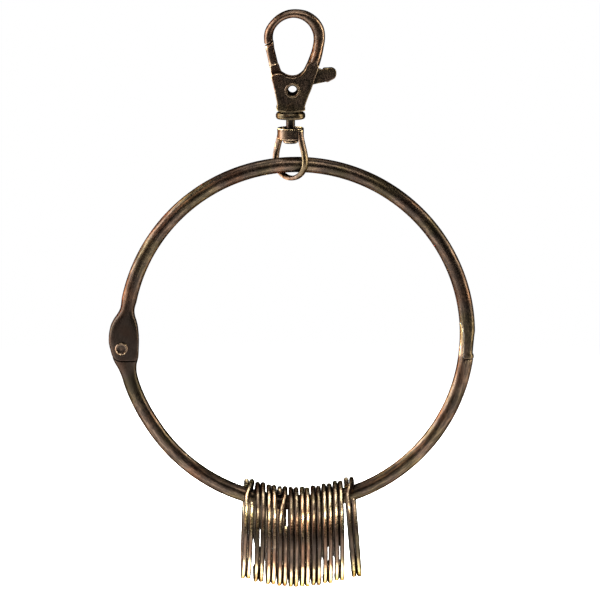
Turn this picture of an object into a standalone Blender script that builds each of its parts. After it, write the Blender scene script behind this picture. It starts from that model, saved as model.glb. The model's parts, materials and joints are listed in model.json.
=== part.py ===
"""A hinged key ring that hangs from a swivel trigger clasp and carries ten split rings.

Frame: metres, +Z up, +X to the right, +Y away from the viewer. The origin is the point
inside the top of the clasp's hook that everything hangs from, on the swivel's axis.
"""
import math

import bmesh
import bpy
from mathutils import Matrix, Vector

MM = 0.001

# The big ring: two half rings of round wire, hinged at the left and latched at the right.
RING_INNER_D = 76.2 * MM
WIRE_D = 3.6 * MM
WIRE_R = WIRE_D / 2
RING_R = (RING_INNER_D + WIRE_D) / 2
RING_X = 1.4 * MM
SWING_Z = -34.4 * MM
RING_Z = SWING_Z - math.sqrt(RING_R ** 2 - RING_X ** 2)
WIRE_SIDES = 16
COARSE_STEP = 6.0
FINE_STEP = 1.25

# The hinge: a fork on the upper half, a tongue on the lower half and a rivet through both.
HINGE_X = -39.5 * MM
HINGE_Z = -77.6 * MM
FORK_SLOT_HALF = 0.8 * MM
FORK_SLOT_TOP = 2.75 * MM
FORK_END_R = 2.8 * MM
JOINT_GAP = 0.25 * MM
TONGUE_HALF = 0.55 * MM
TONGUE_R = 2.4 * MM
RIVET_R = 0.75 * MM
RIVET_BORE_R = 0.95 * MM
RIVET_HEAD_R = 1.5 * MM
RIVET_HEAD_H = 0.45 * MM
RIVET_SHAKE = 0.08 * MM
CUT_REACH = 9.0 * MM

# The latch, in mm, as distances from the hinge axis and heights above it.
LATCH_Z = -2.35
LATCH_TOP = 5.9
LATCH_NEAR = 76.0
LATCH_FAR = 86.0
LATCH_ABOVE = 10.0
LATCH_RECESS = ((78.0, 6.3), (79.5, 6.3), (79.95, 4.8), (80.2, 3.5), (80.2, 2.1),
                (80.05, 0.4), (80.05, -3.0), (78.0, -3.0))
LATCH_SHELF = ((79.65, 0.6), (79.85, 2.0), (79.85, 3.4), (79.3, 5.7), (79.3, 9.0), (86.0, 9.0))

# The trigger clasp.
HOOK_HALF_DEPTH = 1.6 * MM
BODY_HALF_DEPTH = 2.6 * MM
SLOT_HALF = 1.3 * MM
PIVOT_X = 0.45 * MM
PIVOT_Z = -16.65 * MM
EYELET_BORE_R = 1.0 * MM
EYELET_R = 1.3 * MM
EYELET_FLANGE_R = 1.85 * MM
EYELET_FLANGE_H = 0.35 * MM
PIVOT_BORE_R = 1.5 * MM
BORE_SIDES = 24
BORE_REACH = 4.0 * MM

# The swivel: a headed post in the clasp's foot, and a cup with a wire bow under it.
FOOT_BOTTOM = -23.6 * MM
POST_R = 1.05 * MM
POST_BORE_R = 1.25 * MM
POST_HEAD_R = 1.7 * MM
POST_TOP = -20.6 * MM
POST_NECK_TOP = -21.55 * MM
POST_NECK_BOTTOM = -28.75 * MM
POST_PEEN_R = 1.75 * MM
SOCKET_TOP = -20.2 * MM
SOCKET_STEP = -21.9 * MM
CUP_R = 3.1 * MM
CUP_TOP = -25.7 * MM
CUP_FLOOR = -26.7 * MM
CUP_BOTTOM = -28.5 * MM
BOW_WIRE_HALF = (0.63 * MM, 0.85 * MM)
BOW_TURN_DEG = 42.0
BOW_TOP = -26.1 * MM
BOW_BEND = -33.3 * MM
BOW_TOP_HALF = 3.0 * MM
BOW_HALF = 4.6 * MM
BOW_DROP = 4.25 * MM

# The split rings, each two turns of flat wire with a crossing near its top.
SPLIT_OUTER_R = 11.8 * MM
SPLIT_WIDTH = 1.65 * MM
SPLIT_TURN = 1.2 * MM
SPLIT_LAYER = 1.26 * MM
SPLIT_PITCH = 2.58 * MM
SPLIT_TOP_REACH = 4.0 * MM
SPLIT_MIDDLE_X = 2.05 * MM
SPLIT_CLEARANCE = 0.15 * MM
SPLIT_CORNER = 0.28 * MM
SPLIT_END_GAP_DEG = 3.0
SPLIT_YAW_DEG = 1.2
TURN_STEPS = 18
CROSSING_STEPS = 4

# Lean of each split ring in degrees, and the middle and length of its crossing, measured
# round the ring from its top towards the viewer.
SPLIT_RINGS = (
    (2.4, 24.0, 40.0),
    (1.4, 239.0, 44.0),
    (0.6, 332.0, 44.0),
    (0.4, 41.0, 50.0),
    (0.2, 328.0, 44.0),
    (0.0, 334.0, 44.0),
    (-0.2, 330.0, 44.0),
    (-0.5, 220.0, 44.0),
    (-0.9, 217.0, 44.0),
    (-4.6, 24.0, 36.0),
)


def xz(x, z):
    """A point in the plane of the ring, given in millimetres."""
    return (x * MM, z * MM)


def brass(name, colour, roughness, metallic=1.0):
    """A plain metal finish of its own for one piece."""
    material = bpy.data.materials.new(name)
    material.use_nodes = True
    shader = material.node_tree.nodes["Principled BSDF"]
    shader.inputs["Base Color"].default_value = (*colour, 1.0)
    shader.inputs["Roughness"].default_value = roughness
    shader.inputs["Metallic"].default_value = metallic
    return material


def finish(name, bm, finish_of=None, sharp_deg=40.0):
    """Turn a bmesh into a smooth shaded object whose faces point out."""
    bmesh.ops.remove_doubles(bm, verts=bm.verts, dist=1e-7)
    bmesh.ops.recalc_face_normals(bm, faces=bm.faces)
    mesh = bpy.data.meshes.new(name)
    bm.to_mesh(mesh)
    bm.free()
    mesh.shade_smooth()
    mesh.set_sharp_from_angle(angle=math.radians(sharp_deg))
    piece = bpy.data.objects.new(name, mesh)
    bpy.context.scene.collection.objects.link(piece)
    if finish_of:
        piece.data.materials.append(finish_of)
    return piece


def superellipse(half_a, half_b, exponent, sides):
    """Points round an ellipse (exponent 2) or a rounded box (a larger exponent)."""
    points = []
    for k in range(sides):
        t = 2 * math.pi * (k + 0.5) / sides
        a = math.copysign(abs(math.cos(t)) ** (2 / exponent), math.cos(t)) * half_a
        b = math.copysign(abs(math.sin(t)) ** (2 / exponent), math.sin(t)) * half_b
        points.append((a, b))
    return points


def loft(name, sections, finish_of=None):
    """A closed skin over a row of sections with the same number of points."""
    bm = bmesh.new()
    rows = [[bm.verts.new(p) for p in section] for section in sections]
    count = len(rows[0])
    for low, high in zip(rows, rows[1:]):
        for k in range(count):
            n = (k + 1) % count
            bm.faces.new((low[k], low[n], high[n], high[k]))
    bm.faces.new(rows[0])
    bm.faces.new(reversed(rows[-1]))
    return finish(name, bm, finish_of)


def prism(name, outline, low_y, high_y, finish_of=None, bevel=0.0):
    """An outline in the XZ plane made solid between two depths."""
    bm = bmesh.new()
    front = [bm.verts.new((x, low_y, z)) for x, z in outline]
    face = bm.faces.new(front)
    extruded = bmesh.ops.extrude_face_region(bm, geom=[face])
    moved = [item for item in extruded["geom"] if isinstance(item, bmesh.types.BMVert)]
    bmesh.ops.translate(bm, verts=moved, vec=(0.0, high_y - low_y, 0.0))
    bmesh.ops.recalc_face_normals(bm, faces=bm.faces)
    if bevel:
        rims = [e for e in bm.edges if abs(e.verts[0].co.y - e.verts[1].co.y) < 1e-6]
        bmesh.ops.bevel(bm, geom=rims, offset=bevel, segments=2, profile=0.5,
                        affect="EDGES", clamp_overlap=True)
    return finish(name, bm, finish_of)


def turned(name, profile, sides, finish_of=None, place=None):
    """A profile of (radius, height) turned about Z; both of its ends are on the axis."""
    bm = bmesh.new()
    rows = []
    for radius, height in profile:
        if radius < 1e-9:
            rows.append([bm.verts.new((0.0, 0.0, height))] * sides)
            continue
        row = []
        for k in range(sides):
            t = 2 * math.pi * k / sides
            row.append(bm.verts.new((radius * math.cos(t), radius * math.sin(t), height)))
        rows.append(row)
    for low, high in zip(rows, rows[1:]):
        for k in range(sides):
            n = (k + 1) % sides
            corners = list(dict.fromkeys((low[k], low[n], high[n], high[k])))
            if len(corners) > 2:
                bm.faces.new(corners)
    if place:
        bmesh.ops.transform(bm, matrix=place, verts=bm.verts)
    return finish(name, bm, finish_of)


def turned_tube(name, loop, sides, finish_of=None, place=None):
    """A closed profile of (radius, height) that stays off the axis, turned about Z."""
    bm = bmesh.new()
    rows = []
    for radius, height in loop:
        row = []
        for k in range(sides):
            t = 2 * math.pi * k / sides
            row.append(bm.verts.new((radius * math.cos(t), radius * math.sin(t), height)))
        rows.append(row)
    for low, high in zip(rows, rows[1:] + rows[:1]):
        for k in range(sides):
            n = (k + 1) % sides
            bm.faces.new((low[k], low[n], high[n], high[k]))
    if place:
        bmesh.ops.transform(bm, matrix=place, verts=bm.verts)
    return finish(name, bm, finish_of)


def tool(piece):
    """Mark an object as a cutter, which is no part of the model itself."""
    piece.hide_render = True
    piece.display_type = "WIRE"
    return piece


def combine(piece, other, operation):
    modifier = piece.modifiers.new(other.name, "BOOLEAN")
    modifier.operation = operation
    modifier.solver = "EXACT"
    modifier.object = tool(other)


def cut(piece, *others):
    for other in others:
        combine(piece, other, "DIFFERENCE")


def join(piece, *others):
    for other in others:
        combine(piece, other, "UNION")


def put_origin(piece, origin):
    """Move an object's origin onto its joint without moving its shape."""
    piece.data.transform(Matrix.Translation(-Vector(origin)))
    piece.location = origin


def along_y(x, z):
    """The placement that turns a part made about Z onto an axis along Y through (x, z)."""
    return Matrix.Translation((x, 0.0, z)) @ Matrix.Rotation(math.radians(90), 4, "X")


def disc(radius, x, z, sides=24):
    """A round outline in the XZ plane."""
    turns = [2 * math.pi * k / sides for k in range(sides)]
    return [(x + radius * math.cos(t), z + radius * math.sin(t)) for t in turns]


def smooth_row(table, s):
    """The row of a table at s, on a smooth curve through the rows given."""
    if s <= table[0][0]:
        return table[0][1:]
    if s >= table[-1][0]:
        return table[-1][1:]
    k = max(i for i in range(len(table) - 1) if table[i][0] <= s)
    before, low = table[max(k - 1, 0)], table[k]
    high, after = table[k + 1], table[min(k + 2, len(table) - 1)]
    span = high[0] - low[0]
    t = (s - low[0]) / span
    row = []
    for a, b, c, d in zip(before[1:], low[1:], high[1:], after[1:]):
        slope_b = (c - a) / (high[0] - before[0]) * span
        slope_c = (d - b) / (after[0] - low[0]) * span
        row.append((2 * t ** 3 - 3 * t ** 2 + 1) * b + (t ** 3 - 2 * t ** 2 + t) * slope_b
                   + (3 * t ** 2 - 2 * t ** 3) * c + (t ** 3 - t ** 2) * slope_c)
    return row


# Half rings -------------------------------------------------------------------------

IN_MM = RING_INNER_D / 2 / MM
OUT_MM = IN_MM + WIRE_D / MM

# (angle round the ring, inner radius, outer radius, exponent of the section), radii in mm.
# The wire swells into a flat leaf round the hinge, and is filed a little at the latch.
RING_SECTIONS = (
    (-8.3, IN_MM, OUT_MM + 0.03, 2.0),
    (-7.0, IN_MM, OUT_MM + 0.03, 2.0),
    (-6.2, IN_MM, OUT_MM - 0.28, 2.0),
    (-1.5, IN_MM, OUT_MM - 0.22, 2.0),
    (1.5, IN_MM, OUT_MM, 2.0),
    (30.0, IN_MM, OUT_MM, 2.0),
    (168.0, IN_MM, OUT_MM, 2.0),
    (171.5, 38.25, 41.62, 2.0),
    (173.5, 37.95, 42.1, 2.4),
    (175.2, 37.5, 42.8, 3.0),
    (177.6, 37.05, 43.5, 3.5),
    (182.0, 36.8, 43.95, 4.0),
    (185.5, 37.0, 43.6, 4.0),
    (188.5, 37.35, 43.15, 4.0),
    (191.0, 38.05, 42.5, 3.0),
    (193.5, 38.4, 42.15, 2.4),
    (197.0, 38.45, 42.05, 2.0),
    (214.0, IN_MM, OUT_MM, 2.0),
    (330.0, IN_MM, OUT_MM, 2.0),
    (366.0, IN_MM, OUT_MM, 2.0),
)
FINE_SPANS = ((-9.0, 3.0), (167.0, 198.0), (352.0, 366.0))
UPPER_SPAN = (-9.5, 190.0)
LOWER_SPAN = (187.0, 364.6)

# Where the tongue's neck runs into the shoulder, from the hinge axis.
TONGUE_NECK = (xz(-1.75, -2.6), xz(-0.9, -4.0), xz(2.4, -4.6), xz(3.2, -3.3))


def ring_section(angle_deg):
    """The section of the big ring's wire at an angle counted from +X through the top."""
    inner, outer, exponent = smooth_row(RING_SECTIONS, angle_deg)
    middle = (inner + outer) / 2 * MM
    out = Vector((math.cos(math.radians(angle_deg)), 0.0, math.sin(math.radians(angle_deg))))
    centre = Vector((RING_X, 0.0, RING_Z)) + out * middle
    rim = superellipse((outer - inner) / 2 * MM, WIRE_R, exponent, WIRE_SIDES)
    return [centre + out * a + Vector((0.0, b, 0.0)) for a, b in rim]


def ring_angles(start, end):
    angles = [start]
    while angles[-1] < end:
        here = angles[-1]
        fine = any(low <= here < high for low, high in FINE_SPANS)
        angles.append(min(here + (FINE_STEP if fine else COARSE_STEP), end))
    if angles[-1] - angles[-2] < FINE_STEP / 3:
        del angles[-2]
    return angles


def about_hinge(radius_mm, height_mm):
    """A point of the latch, from its distance to the hinge axis and its height above it."""
    across = math.sqrt(radius_mm ** 2 - height_mm ** 2)
    return (HINGE_X + across * MM, HINGE_Z + height_mm * MM)


def about_pin(radius, start_deg, end_deg, steps):
    """Points on an arc about the hinge's rivet."""
    points = []
    for k in range(steps + 1):
        t = math.radians(start_deg + (end_deg - start_deg) * k / steps)
        points.append((HINGE_X + radius * math.cos(t), HINGE_Z + radius * math.sin(t)))
    return points


def hinge_edge(radius):
    """The edge between fork and tongue: an arc about the hinge, then level to the right."""
    return about_pin(radius, 180, 270, 8) + [(HINGE_X + CUT_REACH, HINGE_Z - radius)]


def rivet_bore(name):
    bore = disc(RIVET_BORE_R, HINGE_X, HINGE_Z, 16)
    return prism(name, bore, -CUT_REACH, CUT_REACH)


def build_upper_half(colour):
    """The upper half ring with the hinge's fork and the latch's outer hook."""
    sections = [ring_section(a) for a in ring_angles(*UPPER_SPAN)]
    upper = loft("upper_arc", sections, colour)
    left, right = HINGE_X - CUT_REACH, HINGE_X + CUT_REACH
    below = HINGE_Z - CUT_REACH
    slot_top = HINGE_Z + FORK_SLOT_TOP
    slot = ((left, below), (right, below), (right, slot_top), (left, slot_top))
    end = hinge_edge(FORK_END_R) + [(right, below), (left, below), (left, HINGE_Z)]
    foot_left, foot_right = HINGE_X + LATCH_NEAR * MM, HINGE_X + LATCH_FAR * MM
    foot_top = HINGE_Z + LATCH_Z * MM
    foot = ((foot_left, foot_top), (foot_right, foot_top), (foot_right, below), (foot_left, below))
    recess = [about_hinge(*point) for point in LATCH_RECESS]
    cut(upper,
        prism("cut_fork_slot", slot, -FORK_SLOT_HALF, FORK_SLOT_HALF),
        prism("cut_fork_end", end, -CUT_REACH, CUT_REACH),
        rivet_bore("cut_fork_bore"),
        prism("cut_latch_foot", foot, -CUT_REACH, CUT_REACH),
        prism("cut_latch_recess", recess, -CUT_REACH, CUT_REACH))
    put_origin(upper, (0.0, 0.0, SWING_Z))
    return upper


def build_lower_half(colour):
    """The lower half ring with the hinge's tongue and the latch's inner hook."""
    sections = [ring_section(a) for a in ring_angles(*LOWER_SPAN)]
    lower = loft("lower_arc", sections, colour)
    left, right = HINGE_X - CUT_REACH, HINGE_X + CUT_REACH
    top = HINGE_Z + CUT_REACH
    above = hinge_edge(FORK_END_R + JOINT_GAP) + [(right, top), (left, top), (left, HINGE_Z)]
    seat = LATCH_Z - JOINT_GAP / MM
    shelf = [about_hinge(LATCH_SHELF[0][0], seat)]
    shelf += [about_hinge(*point) for point in LATCH_SHELF]
    shelf.append(about_hinge(LATCH_FAR, seat))
    crown = [about_hinge(LATCH_NEAR, LATCH_TOP), about_hinge(LATCH_FAR, LATCH_TOP),
             about_hinge(LATCH_FAR, LATCH_ABOVE), about_hinge(LATCH_NEAR, LATCH_ABOVE)]
    cut(lower,
        prism("cut_shoulder", above, -CUT_REACH, CUT_REACH),
        prism("cut_latch_shelf", shelf, -CUT_REACH, CUT_REACH),
        prism("cut_latch_crown", crown, -CUT_REACH, CUT_REACH))
    tongue = about_pin(TONGUE_R, -35, 215, 16)
    tongue += [(HINGE_X + x, HINGE_Z + z) for x, z in TONGUE_NECK]
    join(lower, prism("add_tongue", tongue, -TONGUE_HALF, TONGUE_HALF))
    cut(lower, rivet_bore("cut_tongue_bore"))
    put_origin(lower, (HINGE_X, 0.0, HINGE_Z))
    return lower


def build_hinge_rivet(colour):
    """A solid rivet with a domed, dimpled head on each side of the fork."""
    face = WIRE_R + RIVET_SHAKE
    shape = ((0.0, 0.5), (0.5, 0.8), (0.75, 1.0), (1.0, 0.55), (1.0, 0.0))
    profile = [(r * RIVET_HEAD_R, face + h * RIVET_HEAD_H) for r, h in shape]
    profile.append((RIVET_R, face))
    profile += [(r, -h) for r, h in reversed(profile)]
    return turned("hinge_rivet", profile, 16, colour, along_y(HINGE_X, HINGE_Z))


# Clasp ------------------------------------------------------------------------------

# (x, z, width) along the middle of the hook, from its nose over the top to its root, in mm.
HOOK_LINE = (
    (-5.06, -5.9, 2.1), (-5.1, -3.8, 2.1), (-4.4, -1.95, 1.9), (-2.8, -0.2, 1.85),
    (-0.75, 0.85, 1.95), (1.36, 1.05, 2.05), (3.5, 0.5, 2.4), (5.3, -0.85, 2.7),
    (6.4, -2.7, 2.85), (6.7, -4.65, 2.7), (6.45, -6.7, 2.6), (5.95, -8.8, 2.75),
    (5.2, -11.0, 2.95), (4.5, -12.6, 3.1),
)
HOOK_SIDES = 12

# The clasp's flat body, from the foot up its left side and round the bottom of the hook.
BODY_OUTLINE = (
    xz(-2.85, -21.6), xz(-3.1, -20.0), xz(-3.55, -17.8), xz(-4.1, -15.2), xz(-4.5, -13.3),
    xz(-3.2, -12.75), xz(-2.1, -12.75), xz(-1.15, -13.3), xz(-0.2, -13.62), xz(0.66, -13.68),
    xz(1.5, -13.5), xz(2.3, -13.05), xz(3.0, -12.35), xz(3.5, -11.5), xz(3.95, -10.6),
    xz(4.8, -10.1), xz(6.2, -10.6), xz(6.55, -11.4), xz(5.75, -13.8), xz(4.95, -16.2),
    xz(4.1, -18.3), xz(3.3, -20.6), xz(2.95, -21.6),
)

# The slot between the body's cheeks, where the gate lever turns.
SLOT_OUTLINE = (
    xz(-8.0, -9.5), xz(1.2, -9.5), xz(1.9, -13.4), xz(3.2, -12.6), xz(5.0, -11.6), xz(9.0, -11.3),
    xz(9.0, -18.4), xz(3.3, -18.7), xz(1.6, -19.4), xz(-2.0, -19.4), xz(-2.75, -18.0),
    xz(-3.35, -15.0), xz(-4.6, -13.5), xz(-8.0, -13.5),
)

GATE_BAR = (
    xz(-5.95, -6.55), xz(-3.98, -5.32), xz(-3.75, -7.2), xz(-3.3, -9.0), xz(-2.85, -10.9),
    xz(-3.6, -11.25), xz(-4.85, -11.55), xz(-5.25, -9.6), xz(-5.6, -8.0),
)
GATE_WEB = (
    xz(-4.5, -10.8), xz(-2.95, -10.5), xz(-2.35, -11.9), xz(-1.7, -13.0), xz(-0.6, -14.0),
    xz(1.2, -14.6),
    xz(3.2, -13.4), xz(5.2, -12.15), xz(6.7, -11.75), xz(7.4, -12.0), xz(8.7, -11.65),
    xz(9.8, -11.65), xz(10.5, -12.2), xz(10.7, -13.0), xz(10.4, -13.9), xz(9.5, -14.5),
    xz(8.2, -14.85), xz(6.4, -15.25), xz(4.8, -15.7), xz(3.0, -17.2), xz(1.6, -18.3),
    xz(0.45, -18.65), xz(-1.0, -18.0), xz(-1.7, -16.9), xz(-2.6, -15.4), xz(-3.3, -14.6),
    xz(-4.35, -13.2), xz(-4.6, -12.4),
)
HOOK_NOSE_CUT = (xz(-7.0, -6.95), xz(-3.0, -4.45), xz(-3.0, -9.0), xz(-7.0, -9.0))
GATE_WEB_FRONT = -1.05 * MM
GATE_WEB_BACK = 0.05 * MM

# The clasp's round foot, as (radius, height).
FOOT_PROFILE = (
    xz(0.0, -19.9), xz(2.7, -19.9), xz(2.85, -21.6), xz(2.75, -22.0), xz(3.25, -22.15),
    xz(3.45, -22.6), xz(3.45, -23.2), (3.2 * MM, FOOT_BOTTOM), (0.0, FOOT_BOTTOM),
)
GATE_BAR_HALF = 1.5 * MM
TAB_HALF = 1.1 * MM
TAB_LEFT = 6.9 * MM

SPRING_WIRE_R = 0.18 * MM
SPRING_R = 1.72 * MM
SPRING_FRONT = 0.35 * MM
SPRING_PITCH = 0.4 * MM
SPRING_TURNS = 1.75
SPRING_START_DEG = 118.0
SPRING_STEPS_PER_TURN = 14
SPRING_LEGS = (1.1 * MM, 1.2 * MM)


def path_tube(name, line, half_width, half_depth, exponent, sides, finish_of):
    """A loft in the XZ plane along points (x, z), with half widths given at each point."""
    sections = []
    for k, (x, z) in enumerate(line):
        x0, z0 = line[max(k - 1, 0)]
        x1, z1 = line[min(k + 1, len(line) - 1)]
        tangent = Vector((x1 - x0, 0.0, z1 - z0)).normalized()
        side = Vector((tangent.z, 0.0, -tangent.x))
        rim = superellipse(half_width[k], half_depth, exponent, sides)
        sections.append([Vector((x, 0.0, z)) + side * a + Vector((0.0, b, 0.0)) for a, b in rim])
    return loft(name, sections, finish_of)


def pivot_bore(name):
    bore = disc(PIVOT_BORE_R, PIVOT_X, PIVOT_Z, BORE_SIDES)
    return prism(name, bore, -BORE_REACH, BORE_REACH)


def build_clasp_body(colour):
    """The hook, the two cheeks and the foot of the clasp in one casting."""
    body = prism("clasp_body", BODY_OUTLINE, -BODY_HALF_DEPTH, BODY_HALF_DEPTH, colour, 0.55 * MM)
    rows = [(k, *row) for k, row in enumerate(HOOK_LINE)]
    stations = [smooth_row(rows, k / 2) for k in range(2 * len(rows) - 1)]
    hook = path_tube("add_hook", [xz(x, z) for x, z, _ in stations],
                     [width / 2 * MM for _, _, width in stations],
                     HOOK_HALF_DEPTH, 2.4, HOOK_SIDES, None)
    cut(hook, prism("cut_nose", HOOK_NOSE_CUT, -BORE_REACH, BORE_REACH))
    socket_r = POST_HEAD_R + JOINT_GAP
    socket_end = FOOT_BOTTOM - MM
    socket = turned("cut_socket", ((0.0, SOCKET_TOP), (socket_r, SOCKET_TOP),
                                   (socket_r, SOCKET_STEP), (POST_BORE_R, SOCKET_STEP),
                                   (POST_BORE_R, socket_end), (0.0, socket_end)), 16)
    join(body, hook, turned("add_foot", FOOT_PROFILE, 24))
    cut(body,
        prism("cut_slot", SLOT_OUTLINE, -SLOT_HALF, SLOT_HALF),
        pivot_bore("cut_pivot_bore"),
        socket)
    return body


def build_gate(colour):
    """The gate that closes the hook, its web in the slot and its thumb tab, in one lever."""
    web = prism("trigger_gate", GATE_WEB, GATE_WEB_FRONT, GATE_WEB_BACK, colour)
    bar = prism("add_gate_bar", GATE_BAR, -GATE_BAR_HALF, GATE_BAR_HALF, None, 0.4 * MM)
    tab_outline = [point for point in GATE_WEB if point[0] > TAB_LEFT]
    tab = prism("add_tab", tab_outline, -TAB_HALF, TAB_HALF, None, 0.25 * MM)
    join(web, bar, tab)
    cut(web, pivot_bore("cut_gate_bore"))
    put_origin(web, (PIVOT_X, 0.0, PIVOT_Z))
    return web


def build_eyelet(colour):
    """The hollow rivet that the gate turns on, rolled over both cheeks."""
    face = BODY_HALF_DEPTH + 0.05 * MM
    top = face + EYELET_FLANGE_H
    half = ((EYELET_BORE_R, top - 0.12 * MM), (EYELET_BORE_R + 0.25 * MM, top),
            (EYELET_FLANGE_R - 0.2 * MM, top), (EYELET_FLANGE_R, face + 0.1 * MM),
            (EYELET_FLANGE_R - 0.1 * MM, face), (EYELET_R, face))
    loop = list(half) + [(r, -h) for r, h in reversed(half)]
    return turned_tube("gate_rivet", loop, 24, colour, along_y(PIVOT_X, PIVOT_Z))


def build_spring(colour):
    """The torsion spring behind the lever: a short coil on the eyelet with two legs."""
    path = []
    start = math.radians(SPRING_START_DEG)
    steps = int(SPRING_TURNS * SPRING_STEPS_PER_TURN)
    for k in range(steps + 1):
        t = start - 2 * math.pi * SPRING_TURNS * k / steps
        depth = SPRING_FRONT + SPRING_PITCH * SPRING_TURNS * k / steps
        path.append(Vector((SPRING_R * math.cos(t), depth, SPRING_R * math.sin(t))))
    lead = Vector((math.cos(start + math.pi / 2), 0.0, math.sin(start + math.pi / 2)))
    path.insert(0, path[0] + lead * SPRING_LEGS[0])
    end = start - 2 * math.pi * SPRING_TURNS
    tail = Vector((math.cos(end - math.pi / 2), 0.0, math.sin(end - math.pi / 2)))
    path.append(path[-1] + tail * SPRING_LEGS[1])
    sections = []
    for k, point in enumerate(path):
        along = (path[min(k + 1, len(path) - 1)] - path[max(k - 1, 0)]).normalized()
        across = along.cross(Vector((0.0, 1.0, 0.0))).normalized()
        up = across.cross(along)
        rim = superellipse(SPRING_WIRE_R, SPRING_WIRE_R, 2.0, 6)
        centre = point + Vector((PIVOT_X, 0.0, PIVOT_Z))
        sections.append([centre + across * a + up * b for a, b in rim])
    return loft("gate_spring", sections, colour)


# Swivel -----------------------------------------------------------------------------

def build_post(colour):
    """The stud between clasp and cup, with a head captured in the foot and one peened below."""
    low = POST_NECK_BOTTOM
    profile = ((0.0, POST_TOP), (POST_HEAD_R - 0.2 * MM, POST_TOP),
               (POST_HEAD_R, POST_TOP - 0.2 * MM), (POST_HEAD_R, POST_NECK_TOP),
               (POST_R, POST_NECK_TOP), (POST_R, low), (POST_PEEN_R, low),
               (POST_PEEN_R, low - 0.35 * MM), (0.75 * POST_PEEN_R, low - 0.65 * MM),
               (0.0, low - 0.7 * MM))
    return turned("swivel_post", profile, 16, colour)


def bow_line():
    """The middle line of the bow in its own plane: down, out, round the bottom and up again."""
    right = []
    for k in range(5):
        t = k / 4
        ease = t * t * (3 - 2 * t)
        right.append((BOW_TOP_HALF + (BOW_HALF - BOW_TOP_HALF) * ease,
                      BOW_TOP + (BOW_BEND - BOW_TOP) * t))
    for k in range(1, 8):
        t = math.radians(90 * k / 8)
        right.append((BOW_HALF * math.cos(t), BOW_BEND - BOW_DROP * math.sin(t)))
    left = [(-u, z) for u, z in reversed(right)]
    return right + [(0.0, BOW_BEND - BOW_DROP)] + left


def build_swivel_loop(colour):
    """The cup that turns on the post, with the bow that holds the big ring."""
    cup_profile = [(POST_BORE_R, CUP_FLOOR), (CUP_R - 0.55 * MM, CUP_FLOOR),
                   (CUP_R - 0.5 * MM, CUP_TOP), (CUP_R - 0.15 * MM, CUP_TOP),
                   (CUP_R, CUP_TOP - 0.15 * MM), (CUP_R, CUP_BOTTOM + 0.3 * MM),
                   (CUP_R - 0.2 * MM, CUP_BOTTOM), (POST_BORE_R, CUP_BOTTOM)]
    cup = turned_tube("swivel_loop", cup_profile, 24, colour)
    line = bow_line()
    half_width, half_depth = BOW_WIRE_HALF
    bow = path_tube("add_bow", line, [half_width] * len(line), half_depth, 2.6, 10, None)
    bow.data.transform(Matrix.Rotation(math.radians(-BOW_TURN_DEG), 4, "Z"))
    join(cup, bow)
    return cup


# Split rings ------------------------------------------------------------------------

def split_ring(name, x, lean_deg, crossing_deg, crossing_span_deg, colour):
    """Two turns of flat wire, hung over the big ring's wire with its inner edge just clear."""
    slope = math.asin((x - RING_X) / RING_R)
    pivot_z = RING_Z - math.sqrt(RING_R ** 2 - (x - RING_X) ** 2)
    tilt = math.hypot(slope + math.radians(lean_deg), math.radians(SPLIT_YAW_DEG))
    lift = SPLIT_CLEARANCE + SPLIT_LAYER * math.tan(tilt) + WIRE_R * (1 / math.cos(tilt) - 1)
    inner_r = SPLIT_OUTER_R - SPLIT_WIDTH
    middle_r = SPLIT_OUTER_R - SPLIT_WIDTH / 2
    centre_z = WIRE_R + lift - inner_r
    start = crossing_deg + crossing_span_deg / 2 + SPLIT_END_GAP_DEG
    before = crossing_deg - crossing_span_deg / 2
    after = before + 360 + crossing_span_deg
    turn_step = (360 - crossing_span_deg - SPLIT_END_GAP_DEG) / TURN_STEPS
    crossing_step = crossing_span_deg / CROSSING_STEPS
    first_turn = [start + turn_step * k for k in range(TURN_STEPS + 1)]
    crossing = [before + 360 + crossing_step * k for k in range(1, CROSSING_STEPS)]
    last_turn = [after + turn_step * k for k in range(TURN_STEPS + 1)]
    half_r, half_x = SPLIT_WIDTH / 2, SPLIT_TURN / 2
    flat_r, flat_x = half_r - SPLIT_CORNER, half_x - SPLIT_CORNER
    rim = ((half_r, flat_x), (flat_r, half_x), (-flat_r, half_x), (-half_r, flat_x),
           (-half_r, -flat_x), (-flat_r, -half_x), (flat_r, -half_x), (half_r, -flat_x))
    sections = []
    for angle in first_turn + crossing + last_turn:
        t = min(max((angle - before - 360) / crossing_span_deg, 0.0), 1.0)
        side = SPLIT_LAYER / 2 * math.cos(math.pi * t)
        turn = math.radians(angle)
        out = Vector((0.0, -math.sin(turn), math.cos(turn)))
        centre = Vector((side, 0.0, centre_z)) + out * middle_r
        sections.append([centre + out * a + Vector((b, 0.0, 0.0)) for a, b in rim])
    ring = loft(name, sections, colour)
    ring.location = (x, 0.0, pivot_z)
    ring.rotation_euler = (0.0, math.radians(lean_deg), math.radians(SPLIT_YAW_DEG))
    return ring


def build_split_rings():
    places = [0.0]
    for (lean, *_), (next_lean, *_) in zip(SPLIT_RINGS, SPLIT_RINGS[1:]):
        apart = SPLIT_TOP_REACH * math.tan(math.radians(lean - next_lean))
        places.append(places[-1] + SPLIT_PITCH + apart)
    first = SPLIT_MIDDLE_X - places[-1] / 2
    for k, (lean, crossing, span) in enumerate(SPLIT_RINGS):
        name = f"split_ring_{k + 1:02d}"
        shade = 0.9 + 0.04 * (k % 4)
        colour = brass(name, (0.16 * shade, 0.11 * shade, 0.06 * shade), 0.38)
        split_ring(name, first + places[k], lean, crossing, span, colour)


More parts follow.
